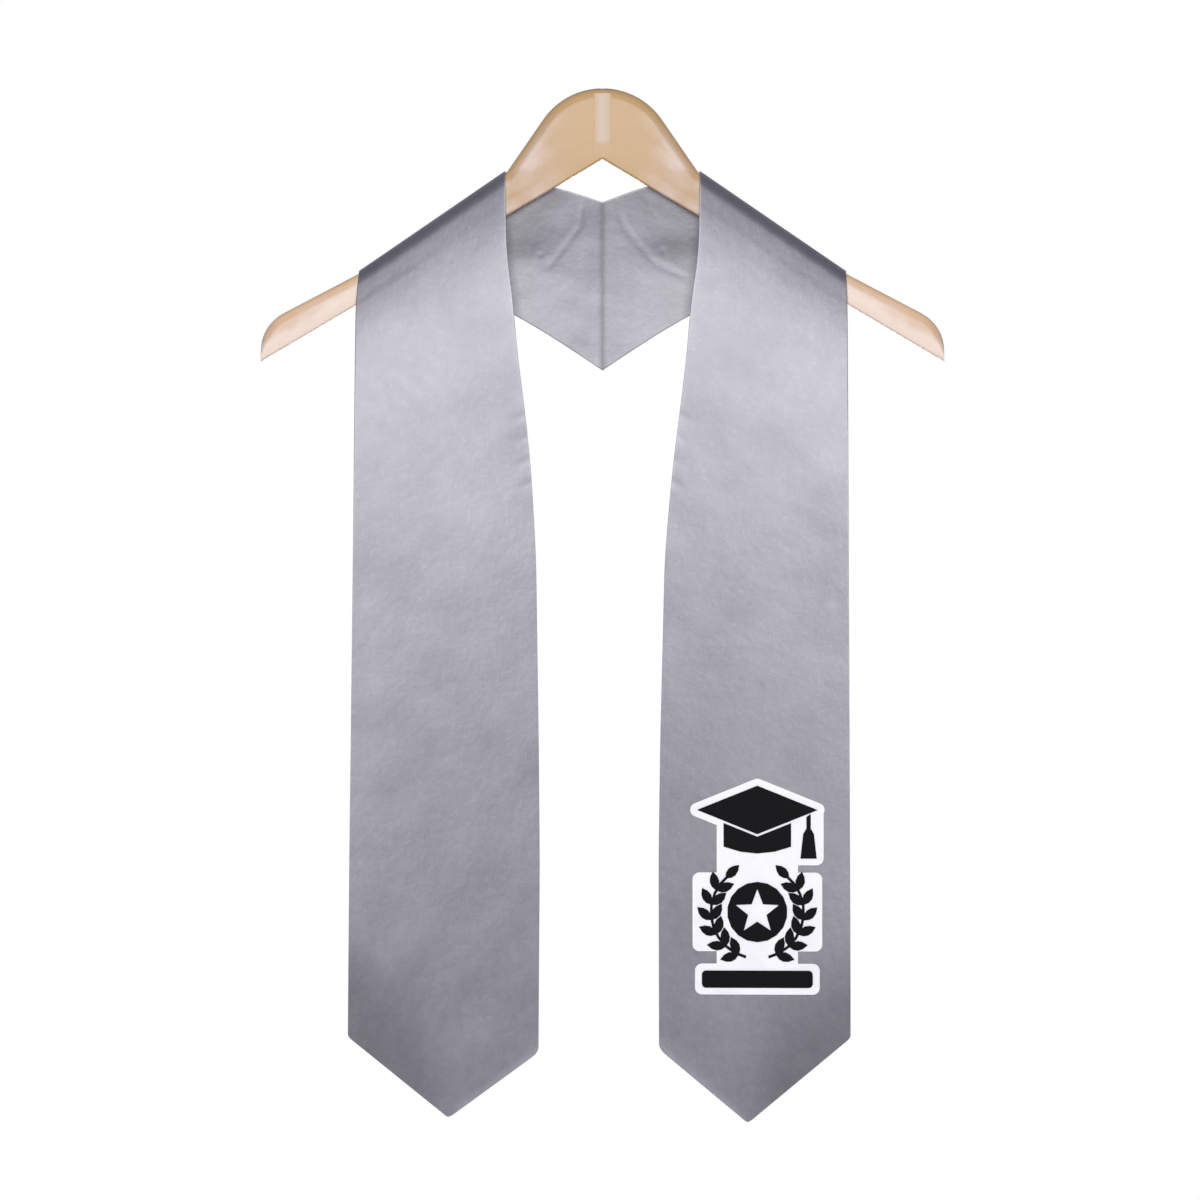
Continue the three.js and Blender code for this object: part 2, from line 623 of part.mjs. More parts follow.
// The print stands on the flat of the right band: backing first, black pieces one clearance in front of it.
function emblemGroup() {
  const reach = bandReach(rightBand, 0.5, emblemDrop) + emblemShift;
  const group = new THREE.Group();
  const tilt = Math.atan(planeSlope);
  const behind = clothWall / 2 + vinylClearance;
  group.position.set(reach + behind * Math.sin(tilt), clothPlane(reach) - behind * Math.cos(tilt), -emblemDrop);
  group.rotation.z = tilt;
  group.add(namedMesh('emblem_backing', vinylPlate(backingShapes()), whiteFinish));
  const art = new THREE.Group();
  art.position.y = -(vinylWall + vinylClearance);
  art.add(
    namedMesh('emblem_cap_board', vinylPlate([boardShape()]), blackFinish),
    namedMesh('emblem_cap_crown', vinylPlate([crownShape()]), blackFinish),
    namedMesh('emblem_tassel', vinylPlate([tasselShape()]), blackFinish),
    namedMesh('emblem_laurel_left', vinylPlate(laurelShapes(-1)), blackFinish),
    namedMesh('emblem_laurel_right', vinylPlate(laurelShapes(1)), blackFinish),
    namedMesh('emblem_roundel', vinylPlate([roundelShape()]), blackFinish),
    namedMesh('emblem_scroll', vinylPlate([scrollShape()]), blackFinish),
  );
  group.add(art);
  return group;
}

const stole = new THREE.Group();
stole.add(
  namedMesh('hanger', hangerGeometry(), woodFinish),
  namedMesh('stole_left_panel', panelGeometry(leftBand), satinFinish),
  namedMesh('stole_right_panel', panelGeometry(rightBand), satinFinish),
  emblemGroup(),
);

export default stole;
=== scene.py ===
# %% [markdown]
# # A satin graduation stole on a wooden hanger
# The stole is two bands of heavy satin, joined by a seam at the centre of the back, and it hangs over the
# arms of a plain contoured hanger. Near the end of one band is a print in black on white vinyl. The packed
# model gives the exact places of everything. This lesson dresses it: each soft or turned form is worked
# out again as a fine surface from the same few lengths, and every surface gets a finish made of nodes.

import bpy
import numpy as np
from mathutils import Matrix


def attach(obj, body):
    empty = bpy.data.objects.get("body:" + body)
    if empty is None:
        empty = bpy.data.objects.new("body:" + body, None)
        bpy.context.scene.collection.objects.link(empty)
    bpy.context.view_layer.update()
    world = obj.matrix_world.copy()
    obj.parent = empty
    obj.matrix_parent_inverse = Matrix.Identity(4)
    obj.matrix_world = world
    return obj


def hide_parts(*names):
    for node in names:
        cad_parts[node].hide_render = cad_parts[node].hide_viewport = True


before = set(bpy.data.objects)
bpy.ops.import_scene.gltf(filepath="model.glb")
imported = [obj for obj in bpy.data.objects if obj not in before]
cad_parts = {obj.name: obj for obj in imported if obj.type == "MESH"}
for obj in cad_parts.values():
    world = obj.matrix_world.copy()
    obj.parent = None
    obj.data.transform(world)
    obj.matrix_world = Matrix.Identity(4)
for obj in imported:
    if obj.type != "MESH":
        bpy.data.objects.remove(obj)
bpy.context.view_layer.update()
MM = 0.001
print("nodes:", sorted(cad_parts))

# %% [markdown]
# ## The camera
# The photograph looks straight at the hanging stole, with no tilt and almost no perspective. A long lens
# from far away gives that. The width that the picture shows at the cloth is known, so the lens follows
# from the distance.

# %% Camera
PICTURE_WIDTH = 782.4
PICTURE_MIDDLE = (-1.63, -334.5)
CAMERA_DISTANCE = 5000
CLOTH_DEPTH = -14
SENSOR_WIDTH = 36


def add_camera():
    """Straight view along +Y. Lens = sensor width x distance to the cloth / width shown there."""
    data = bpy.data.cameras.new("camera")
    data.sensor_width = SENSOR_WIDTH
    data.lens = SENSOR_WIDTH * (CAMERA_DISTANCE + CLOTH_DEPTH) / PICTURE_WIDTH
    camera = bpy.data.objects.new("camera", data)
    camera.location = (PICTURE_MIDDLE[0] * MM, -CAMERA_DISTANCE * MM, PICTURE_MIDDLE[1] * MM)
    camera.rotation_euler = (np.pi / 2, 0, 0)
    bpy.context.scene.collection.objects.link(camera)
    bpy.context.scene.camera = camera
    return camera


camera = add_camera()
print("lens, mm:", round(camera.data.lens, 1))

# %% [markdown]
# ## Small helpers
# Every shape below is a grid of points: rows along it and columns across it. One helper mixes two values,
# one eases between two places, and two turn finished arrays of points and faces into objects, without and
# with a map.

# %% Helpers


def mix(a, b, share):
    """a at share 0, b at share 1, straight between them."""
    return a + (b - a) * share


def ease(value, start, end):
    """0 before start, 1 after end, and between them 3t^2 - 2t^3, which leaves and arrives level."""
    t = np.clip((value - start) / (end - start), 0, 1)
    return t * t * (3 - 2 * t)


def unit(vectors):
    """Vectors divided by their own lengths."""
    return vectors / np.linalg.norm(vectors, axis=-1, keepdims=True)


def smooth_object(name, points, faces):
    """Smooth object at the origin, from points in millimetres and lists of corners."""
    mesh = bpy.data.meshes.new(name)
    mesh.from_pydata((points * MM).tolist(), [], faces)
    mesh.validate()
    mesh.shade_smooth()
    piece = bpy.data.objects.new(name, mesh)
    bpy.context.scene.collection.objects.link(piece)
    return piece


def mapped_object(name, points, quads, uv, tone):
    """Smooth object of the points that the quads use, each with its place on the map and its tone."""
    used, quads = np.unique(quads, return_inverse=True)
    piece = smooth_object(name, points[used], quads.reshape(-1, 4).tolist())
    mesh = piece.data
    corners = np.empty(len(mesh.loops), np.int32)
    mesh.loops.foreach_get("vertex_index", corners)
    places = (uv[used][corners] * MM).astype(np.float32).ravel()
    mesh.uv_layers.new(name="cloth").data.foreach_set("uv", places)
    mesh.attributes.new("tone", "FLOAT", "POINT").data.foreach_set("value", tone[used].astype(np.float32))
    return piece


def signed_volume(points, quads):
    """Sum over the faces of corner . (corner x corner) / 6: positive when the faces point outwards."""
    a, b, c, d = (points[quads[:, i]] for i in range(4))
    return (np.einsum("ij,ij->i", a, np.cross(b, c)) + np.einsum("ij,ij->i", a, np.cross(c, d))).sum() / 6


# %% [markdown]
# ## The hanger's lines
# The cloth follows the hanger, so the hanger's lines come first. Its neck is an arc, its flanks and
# shoulders are straight, and the arms sweep forward and get thinner towards their ends. All lengths are in
# millimetres, and they become metres when an object is made.

# %% Lengths of the hanger
HANGER_REACH = 222.5
CREST_RADIUS = 47
FLANK_ANGLE = np.radians(55.5)
NECK_REACH = 62.4
SHOULDER_SLOPE = np.radians(34.6)
SHOULDER_REACH = 160
ARM_SLOPE = np.radians(28)
NOSE_LENGTH = 16
NOSE_DROP = 17.5
NOSE_FULLNESS = 2.4
NECK_DEPTH = 46.9
UNDERSIDE_SLOPE = np.radians(30.8)
HANGER_THICKNESS = 15
TIP_THICKNESS = 11
ARM_SWEEP = 18
SWEEP_STRAIGHT_SHARE = 0.35

crest_reach = CREST_RADIUS * np.sin(FLANK_ANGLE)
crest_drop = CREST_RADIUS * (1 - np.cos(FLANK_ANGLE))
neck_drop = crest_drop + (NECK_REACH - crest_reach) * np.tan(FLANK_ANGLE)


def sweep(x):
    """Y of the hanger's middle: falls with the reach, part in proportion and part with its square."""
    reach = np.abs(x) / HANGER_REACH
    return -ARM_SWEEP * (SWEEP_STRAIGHT_SHARE * reach + (1 - SWEEP_STRAIGHT_SHARE) * reach**2)


def half_thickness(x):
    """Half the wood's thickness, which falls with the square of the reach."""
    return mix(HANGER_THICKNESS, TIP_THICKNESS, (np.abs(x) / HANGER_REACH) ** 2) / 2


def shoulder_line(x):
    """Z of the straight shoulder, carried on past both of its ends."""
    return -neck_drop - (np.abs(x) - NECK_REACH) * np.tan(SHOULDER_SLOPE)


print("neck to shoulder at", round(float(neck_drop), 1), "mm below the crest")

# %% [markdown]
# ## The cloth of the stole
# Each half of the stole is one long band. It starts at the centre-back seam, crosses the nape, folds over
# the arm and hangs down to a point. A simulation could drape it, but the photograph shows a stiff pressed
# satin whose edges can be measured, so a surface that is computed from those edges lies closer to it. The
# surface has three stretches: the front, which hangs flat, the fold over the arm, and the back, which
# turns down to the seam. Rows run along the cloth and columns run across it.

# %% Lengths of the cloth
CLOTH_WALL = 1.0
CLOTH_CLEARANCE = 0.35
FRONT_FOLD_DEPTH = 18
SHELL_DEPTH = 9
SHELL_INSET = 0.3
BELLY_SLOPE = 0.2
BELLY_LENGTH = 150
BELLY_POWER = 1.6
BACK_FOLD_DEPTH = 7
SEAM_REACH = 0.02
EDGE_MARGIN = 0.9
RIDGE_OUTER = 158.8
BACK_DRIFT = 14
FLAT_START = 120
FLAT_END = 320
SEAM_TOP = 74
SEAM_LENGTH = 110
BACK_LOWER_BEND = (72, 135.5)
BEND_PULL = 0.9

LEFT_BAND = dict(side=-1, end_outer=165.7, end_inner=41.7, outer_corner=618.7, inner_corner=629.2,
                 tip=100.3, tip_drop=671.8, upper_bend=(38, 61),
                 inner_shares=(0, 0.03, 0.26, 0.345, 0.57, 0.735, 0.82, 0.93, 1.01, 1.04, 1))
RIGHT_BAND = dict(side=1, end_outer=161.4, end_inner=36.8, outer_corner=619.4, inner_corner=627,
                  tip=94.7, tip_drop=675.2, upper_bend=(40, 58.5),
                  inner_shares=(0, 0.02, 0.235, 0.3, 0.465, 0.62, 0.72, 0.86, 0.97, 1.01, 1))
OUTLINE_DOWN = (0.11, 0.17, 0.23, 0.27, 0.33, 0.38, 0.42, 0.49, 0.68, 0.8, 1)
OUTER_SHARES = (0, 0.1, 0.28, 0.32, 0.37, 0.41, 0.44, 0.5, 0.7, 0.83, 1)

cloth_offset = CLOTH_CLEARANCE + CLOTH_WALL / 2
ridge_inner = NECK_REACH + EDGE_MARGIN
ridge_lift = cloth_offset / np.cos(SHOULDER_SLOPE)
fold_front = (FRONT_FOLD_DEPTH + cloth_offset) / np.cos(SHOULDER_SLOPE)
fold_back = (BACK_FOLD_DEPTH + cloth_offset) / np.cos(SHOULDER_SLOPE)
belly_depth = BELLY_SLOPE * BELLY_LENGTH / (BELLY_POWER + 1)
print("fold over the arm, mm:", round(fold_front, 1), "in front and", round(fold_back, 1), "behind")

# %% Front of a band
OUTLINE_BLUR = 0.022
BLUR_READINGS = 7
TIP_BLUR = 1.6
OUTER_CORNER_ROUND = 2.2
INNER_CORNER_ROUND = 3.6


def outline_share(shares, down):
    """Share of an outline column at a place down it: the mean of straight readings around it."""
    offsets = np.linspace(-OUTLINE_BLUR, OUTLINE_BLUR, BLUR_READINGS)
    return np.mean([np.interp(down + offset, OUTLINE_DOWN, shares) for offset in offsets], axis=0)


def band_reach(band, across, drop):
    """Reach from the centre at a share across the band, 0 on its outer edge, and a drop below the crest."""
    outer_share = outline_share(OUTER_SHARES, drop / band["outer_corner"])
    outer = mix(RIDGE_OUTER, band["end_outer"], outer_share)
    inner_share = outline_share(band["inner_shares"], drop / band["inner_corner"])
    inner = mix(ridge_inner, band["end_inner"], inner_share)
    return mix(outer, inner, across)


def cloth_front(reach):
    """Y of the cloth's middle where it hangs upright in front of the arm."""
    return sweep(reach) - half_thickness(reach) + SHELL_INSET - belly_depth


def cloth_back(reach):
    """Y of the cloth's middle behind the arm."""
    return sweep(reach) + half_thickness(reach) + cloth_offset


plane_slope = (cloth_front(RIDGE_OUTER) - cloth_front(ridge_inner)) / (RIDGE_OUTER - ridge_inner)


def cloth_plane(reach):
    """Y of the flat plane of the lower part, which meets the arm's line at both edges of the cloth."""
    return cloth_front(ridge_inner) + plane_slope * (reach - ridge_inner)


def front_y(reach, below):
    """Y of the front at a distance below the ridge: a quarter ellipse over the wood, then a long slack
    belly whose slope falls to nothing, and from FLAT_START to FLAT_END an easy way over to the flat
    plane."""
    turn = 1 - np.clip(below / SHELL_DEPTH, 0, 1)
    shell = (half_thickness(reach) - SHELL_INSET) * np.sqrt(1 - turn**2)
    slack = 1 - np.clip(below / BELLY_LENGTH, 0, 1)
    belly = belly_depth * (1 - slack ** (BELLY_POWER + 1))
    return mix(sweep(reach) - shell - belly, cloth_plane(reach), ease(below, FLAT_START, FLAT_END))


def corner_cut(distance, radius):
    """Height of a rounded corner's arc above the corner's level, at a distance in from its side."""
    return radius - np.sqrt(radius**2 - (radius - np.minimum(distance, radius)) ** 2)


def end_drop(band, across):
    """Drop of the lower outline: straight between outer corner, point and inner corner, each rounded."""
    width = band["end_outer"] - band["end_inner"]
    stops = (0, (band["end_outer"] - band["tip"]) / width, 1)
    drops = (band["outer_corner"], band["tip_drop"], band["inner_corner"])
    offsets = np.linspace(-TIP_BLUR, TIP_BLUR, BLUR_READINGS) / width
    drop = np.mean([np.interp(across + offset, stops, drops) for offset in offsets], axis=0)
    drop = drop - corner_cut(across * width, OUTER_CORNER_ROUND)
    return drop - corner_cut((1 - across) * width, INNER_CORNER_ROUND)


def corner_inside(band, x, drop):
    """Distance inwards from the slanted edge between the outer corner and the point."""
    down, along = band["tip_drop"] - band["outer_corner"], band["end_outer"] - band["tip"]
    return ((band["end_outer"] - x) * down + (band["outer_corner"] - drop) * along) / np.hypot(down, along)


def front_points(band, share, across):
    """Front stretch: share 0 at the fold, 1 at the pointed end."""
    ridge_drop = -shoulder_line(mix(RIDGE_OUTER, ridge_inner, across)) - ridge_lift
    drop = mix(ridge_drop + fold_front, end_drop(band, across), share)
    reach = band_reach(band, across, drop)
    return np.stack([reach, front_y(reach, drop - ridge_drop), -drop], axis=-1)


print("the flat of a band turns by", round(float(np.degrees(np.arctan(plane_slope))), 1), "degrees")

# %% Fold and back of a band


def fold_points(band, angle, across):
    """Two quarter ellipses over the ridge: angle 0 in front, pi behind. The front one is deeper."""
    ridge = mix(RIDGE_OUTER, ridge_inner, across)
    behind = angle > np.pi / 2
    drift = BACK_DRIFT * (1 - across)
    front_reach = front_points(band, 0, across)[..., 0]
    reach = np.where(behind, ridge - drift * (1 - np.sin(angle)), mix(front_reach, ridge, np.sin(angle)))
    depth = np.where(behind, fold_back, fold_front)
    below = depth * (1 - np.sin(angle))
    line = np.where(behind, shoulder_line(reach), shoulder_line(ridge))
    y_behind = mix(sweep(reach), cloth_back(reach), np.abs(np.cos(angle)))
    y = np.where(behind, y_behind, front_y(reach, below))
    return np.stack([reach, y, line + ridge_lift - below], axis=-1)


def back_points(band, share, across):
    """Cubic Bezier curves from the fold to the seam. Both controls of a curve lie near its bend."""
    start = fold_points(band, np.full_like(across, np.pi), across)[..., [0, 2]]
    seam_z = -mix(SEAM_TOP + SEAM_LENGTH, SEAM_TOP, across)
    seam = np.stack([np.full_like(across, SEAM_REACH), seam_z], axis=-1)
    bend_x = mix(BACK_LOWER_BEND[0], band["upper_bend"][0], across)
    bend_z = -mix(BACK_LOWER_BEND[1], band["upper_bend"][1], across)
    bend = np.stack([bend_x, bend_z], axis=-1)
    first = mix(start, bend, BEND_PULL)
    second = mix(seam, bend, BEND_PULL)
    t = share[..., None]
    place = (1 - t) ** 3 * start + 3 * (1 - t) ** 2 * t * first + 3 * (1 - t) * t**2 * second + t**3 * seam
    return np.stack([place[..., 0], cloth_back(place[..., 0]), place[..., 1]], axis=-1)


# %% [markdown]
# ## Life in the cloth
# Pressed satin is never quite flat. A gloss as narrow as satin's shows a slope of a third of a degree, so
# the relief is tiny: seeded waves, a fold mark, a few puckers where the edge was sewn in a curve, a
# shallow hollow along the outer side, and an outer corner that leans back. The back leans away below the
# nape and has the creases that run down from it. All of it is added to the computed surface as a push
# towards the viewer.

# %% Soft relief
LONG_WAVES = dict(shortest=70, longest=190, count=9, slope=0.003)
SHORT_WAVES = dict(shortest=14, longest=45, count=16, slope=0.0024)


def waves(x, z, seed, shortest, longest, count, slope):
    """Sum of sines in random directions: each one's height is its slope x wavelength / 2 pi."""
    random = np.random.default_rng(seed)
    total = np.zeros_like(x)
    for length, turn, phase in random.uniform((shortest, 0, 0), (longest, np.pi, 2 * np.pi), (count, 3)):
        step = 2 * np.pi / length
        total += slope / step * np.sin(step * (x * np.cos(turn) + z * np.sin(turn)) + phase)
    return total


def soft_ridge(x, z, path, width, height):
    """Ridge along a path: height x exp(-(distance / width)^2), with the distance to its nearest leg."""
    distance = np.full_like(x, np.inf)
    for (x0, z0), (x1, z1) in zip(path, path[1:]):
        dx, dz = x1 - x0, z1 - z0
        share = np.clip(((x - x0) * dx + (z - z0) * dz) / (dx * dx + dz * dz), 0, 1)
        distance = np.minimum(distance, np.hypot(x - x0 - share * dx, z - z0 - share * dz))
    return height * np.exp(-((distance / width) ** 2))


# %% Relief of the front
FRONT_SEED = 5
SHORT_SEED_STEP = 10
FOLD_MARK = dict(width=3.4, height=0.12)
FOLD_MARK_PLACES = ((14, 340), (56, 388))
PUCKER = dict(width=2.2, height=0.16)
PUCKER_DROPS = (149, 214, 228, 243, 258)
PUCKER_LENGTH = 17
PUCKER_BEND = (-3, 2)
OUTER_HOLLOW = 0.8
HOLLOW_ACROSS = (0.75, 0.1)
HOLLOW_DEEPENS = (30, 85)
HOLLOW_ENDS = (200, 90)
RIDGE_SWELL = 0.06
SWELL_RISES = (0, 20)
SWELL_ENDS = (200, 20)
CORNER_SLOPE = 0.08
CORNER_BLUR = 8
CORNER_START = {-1: 45, 1: 28}
RELIEF_STARTS = (5, 70)
PRINT_TOP = 430
PRINT_FADE = 60
PRINT_FLATNESS = 0.85


def front_relief(band, grid, across):
    """Push towards the viewer on the front, in millimetres. It fades in below the ridge and is slight at
    the print, which is pressed flat."""
    x, z = grid[..., 0], grid[..., 2]
    drop = -z
    below = drop + shoulder_line(mix(RIDGE_OUTER, ridge_inner, across))
    seed = FRONT_SEED + band["side"]
    relief = waves(x, z, seed, **LONG_WAVES) + waves(x, z, seed + SHORT_SEED_STEP, **SHORT_WAVES)
    mark = [(band["end_outer"] - inside, -down) for inside, down in FOLD_MARK_PLACES]
    relief += soft_ridge(x, z, mark, **FOLD_MARK)
    if band["side"] > 0:
        relief *= 1 - PRINT_FLATNESS * ease(drop, PRINT_TOP - PRINT_FADE, PRINT_TOP)
    for pucker in PUCKER_DROPS:
        start = band_reach(band, 1, pucker)
        middle, end = start + PUCKER_LENGTH / 2, start + PUCKER_LENGTH
        path = [(start, -pucker), (middle, -pucker + PUCKER_BEND[0]), (end, -pucker + PUCKER_BEND[1])]
        relief -= soft_ridge(x, z, path, **PUCKER) * ease(x, end, start)
    hollow = ease(across, *HOLLOW_ACROSS) * ease(below, *HOLLOW_DEEPENS) * ease(below, *HOLLOW_ENDS)
    relief -= OUTER_HOLLOW * hollow
    from_corner = CORNER_START[band["side"]] - corner_inside(band, x, drop)
    relief -= CORNER_SLOPE * CORNER_BLUR * np.logaddexp(0, from_corner / CORNER_BLUR)
    swell = RIDGE_SWELL * ease(below, *SWELL_RISES) * ease(below, *SWELL_ENDS)
    return relief * ease(below, *RELIEF_STARTS) + swell


# %% Relief of the back
BACK_SEED = 31
LEAN = 5.6
LEAN_POWER = 2.9
LEAN_HEADSTART = 12
DIP = dict(drop=112, depth=0.95, above=14, beneath=45, starts=(12, 46))
CREASE = dict(width=1.9, height=0.13)
BACK_CREASES = {
    -1: [[(13.4, -77), (14.7, -90), (34.5, -115.5)], [(41, -109), (40.5, -108)]],
    1: [[(12.1, -83), (14, -90), (34.2, -114), (53.1, -122.6)], [(38.8, -106.3), (39.4, -105.4)]],
}
STREAK = dict(width=4, height=0.08)
STREAK_REACHES = (11, 21)
STREAK_DROPS = (105, 165)
STREAK_LEAN = 1
FOLD_FADE = (0, 0.3)


def back_relief(band, grid, share):
    """Push towards the viewer on the back, in millimetres: the cloth leans away below the nape, dips
    below the arm, is creased from the nape outwards, and has faint upright folds beside the seam."""
    x, z = grid[..., 0], grid[..., 2]
    drop = -z
    fall = np.clip((drop - SEAM_TOP + LEAN_HEADSTART) / (SEAM_LENGTH + LEAN_HEADSTART), 0, 1)
    relief = -LEAN * (1 - (1 - fall) ** LEAN_POWER)
    reach = np.where(drop < DIP["drop"], DIP["above"], DIP["beneath"])
    relief -= DIP["depth"] * ease(x, *DIP["starts"]) * np.exp(-(((drop - DIP["drop"]) / reach) ** 2))
    for path in BACK_CREASES[band["side"]]:
        relief += soft_ridge(x, z, path, **CREASE)
    for streak in STREAK_REACHES:
        path = [(streak, -STREAK_DROPS[0]), (streak + STREAK_LEAN, -STREAK_DROPS[1])]
        relief += soft_ridge(x, z, path, **STREAK)
    seed = BACK_SEED + band["side"]
    relief += waves(x, z, seed, **LONG_WAVES) + waves(x, z, seed + SHORT_SEED_STEP, **SHORT_WAVES)
    return relief * ease(share, *FOLD_FADE)


crease_count = sum(len(creases) for creases in BACK_CREASES.values())
print("relief ready:", len(PUCKER_DROPS), "puckers on each band and", crease_count, "creases on the back")

# %% Middle surface of a half
EDGE_STEPS = (0, 0.05, 0.16, 0.32, 0.5, 0.95, 1.7, 2.7)
COLUMN_STEP = 2.0
ROW_STEP = 2.0
FRONT_LENGTH = 520
FOLD_ROWS = 26
BACK_LENGTH = 165
BACK_ROWS = 80
BAND_WIDTH = 124.5
CLEAR_OF_EDGE = 1.5


def edged_shares(length, step, start_edge, end_edge):
    """Shares along a length at even steps, with close steps at the ends that are open edges."""
    near = np.array(EDGE_STEPS) / length
    clear = near[-1] * CLEAR_OF_EDGE
    shares = np.linspace(0, 1, int(length / step) + 1)
    if start_edge:
        shares = np.concatenate([near, shares[shares > clear]])
    if end_edge:
        shares = np.concatenate([shares[shares < 1 - clear], 1 - near[::-1]])
    return shares


def column_shares(band):
    """Shares across the band from outer to inner edge, moved so that one column ends on the point."""
    shares = edged_shares(BAND_WIDTH, COLUMN_STEP, True, True)
    tip_across = (band["end_outer"] - band["tip"]) / (band["end_outer"] - band["end_inner"])
    nearest = np.argmin(np.abs(shares - tip_across))
    shares[nearest] = tip_across
    return shares


def half_grid(band):
    """Points of one half, row by row from the pointed end to the seam, and the number of rows in front."""
    across = column_shares(band)
    front = edged_shares(FRONT_LENGTH, ROW_STEP, False, True)[::-1]
    fold = np.linspace(0, np.pi, FOLD_ROWS + 1)[1:]
    back = edged_shares(BACK_LENGTH, BACK_LENGTH / BACK_ROWS, False, True)[1:]
    front_grid = front_points(band, *np.meshgrid(front, across, indexing="ij"))
    fold_grid = fold_points(band, *np.meshgrid(fold, across, indexing="ij"))
    back_share, back_across = np.meshgrid(back, across, indexing="ij")
    back_grid = back_points(band, back_share, back_across)
    front_grid[..., 1] -= front_relief(band, front_grid, across[None])
    back_grid[..., 1] -= back_relief(band, back_grid, back_share)
    return np.concatenate([front_grid, fold_grid, back_grid]), len(front)


print("columns across a band:", len(column_shares(LEFT_BAND)))

# %% [markdown]
# ## From a surface to a cloth with two sides
# A stole is two layers of satin sewn face to face and turned out, about a millimetre thick, with soft
# rolled edges. The grid is pushed out to both sides along its normals. The distance that it is pushed
# falls to nothing at the edges like a quarter circle, so both skins meet there and the edge is round. Each
# point also keeps a tone, a share of the full colour, which holds the painted highlights and the painted
# shade of the cloth.

# %% Cloth from a grid
EDGE_ROUND = 0.5
SEAM_ROUND = 0.06
# The lifts below are painted highlights, and the shades and the tone of the back are painted shade, all
# carried in the cloth's tone.
EDGE_HIGHLIGHT = 0.55
INNER_EDGE_HIGHLIGHT = dict(lift=0.2, width=1.8, ends=(290, 240))
MIDDLE_HIGHLIGHT = dict(lift=0.07, across=(0.35, 0.9), starts=(230, 300), ends=(460, 360))
HEM_HIGHLIGHT = dict(lift=0.32, width=4.5, beside_tip=(3, -12))
SEAM_SHADE = dict(shade=0.3, width=2.4)
CORNER_SHADE = dict(shade=0.32, inside=(80, 5), beside_tip=(-12, 32), starts=(480, 600))
BACK_SHADE_TONE = 0.885


def grid_normals(grid):
    """Unit normals: the step along the rows crossed with the step along the columns."""
    return unit(np.cross(np.gradient(grid, axis=0), np.gradient(grid, axis=1)))


def path_lengths(grid, axis):
    """Length walked from the first row or column to each point of the grid."""
    steps = np.linalg.norm(np.diff(grid, axis=axis), axis=-1)
    start = np.zeros_like(np.take(steps, [0], axis=axis))
    return np.concatenate([start, np.cumsum(steps, axis=axis)], axis=axis)


def edge_profile(distance, reach=EDGE_ROUND):
    """Quarter circle: 0 on the edge, 1 from its reach inwards."""
    return np.sqrt(1 - (1 - np.clip(distance / reach, 0, 1)) ** 2)


def thread_map(grid, front_rows):
    """Map of the cloth in millimetres: across from the outer edge, and along so that threads hang
    upright in front. The front reads the drop itself, and the fold and back go on from there by the
    length walked."""
    along = path_lengths(grid, 0)
    start = along[front_rows - 1] + grid[front_rows - 1, :, 2]
    return np.stack([path_lengths(grid, 1), along - start], axis=-1)


def cloth_tone(band, grid, front_rows):
    """Share of the full colour at each point, with painted light and shade in it. Painted highlights lie on
    the rolled edges, along the inner edge near the neck, on the inner side of the middle and along the hem
    inside the point. Painted shade lies on the outer corner and on the back behind the fold, and is darkest
    in the valley of the seam."""
    x, drop = grid[..., 0], -grid[..., 2]
    from_tip = x - band["tip"]
    across = path_lengths(grid, 1)
    from_inner = across[:, -1:] - across
    along = path_lengths(grid, 0)
    from_edge = np.minimum(np.minimum(across, from_inner), along)
    # Painted highlight on every rolled edge.
    lift = EDGE_HIGHLIGHT * np.exp(-((from_edge / EDGE_ROUND) ** 2))
    # Painted highlight along the inner edge near the neck.
    lift += INNER_EDGE_HIGHLIGHT["lift"] * np.exp(-from_inner / INNER_EDGE_HIGHLIGHT["width"]) * ease(drop, *INNER_EDGE_HIGHLIGHT["ends"])
    # Painted highlight on the inner side of the middle of the front.
    middle = ease(drop, *MIDDLE_HIGHLIGHT["starts"]) * ease(drop, *MIDDLE_HIGHLIGHT["ends"])
    lift += MIDDLE_HIGHLIGHT["lift"] * ease(across / across[:, -1:], *MIDDLE_HIGHLIGHT["across"]) * middle
    # Painted highlight along the hem inside the point.
    lift += HEM_HIGHLIGHT["lift"] * np.exp(-((along / HEM_HIGHLIGHT["width"]) ** 2)) * ease(from_tip, *HEM_HIGHLIGHT["beside_tip"])
    shade = SEAM_SHADE["shade"] * np.exp(-(((along[-1] - along) / SEAM_SHADE["width"]) ** 2))
    corner = ease(corner_inside(band, x, drop), *CORNER_SHADE["inside"])
    corner *= ease(from_tip, *CORNER_SHADE["beside_tip"]) * ease(drop, *CORNER_SHADE["starts"])
    shade += CORNER_SHADE["shade"] * corner
    # Painted shade on the back, behind the fold.
    back_shade = mix(1, BACK_SHADE_TONE, ease(along, along[front_rows - 1], along[front_rows - 1 + FOLD_ROWS]))
    return (1 + lift) * (1 - shade) * back_shade


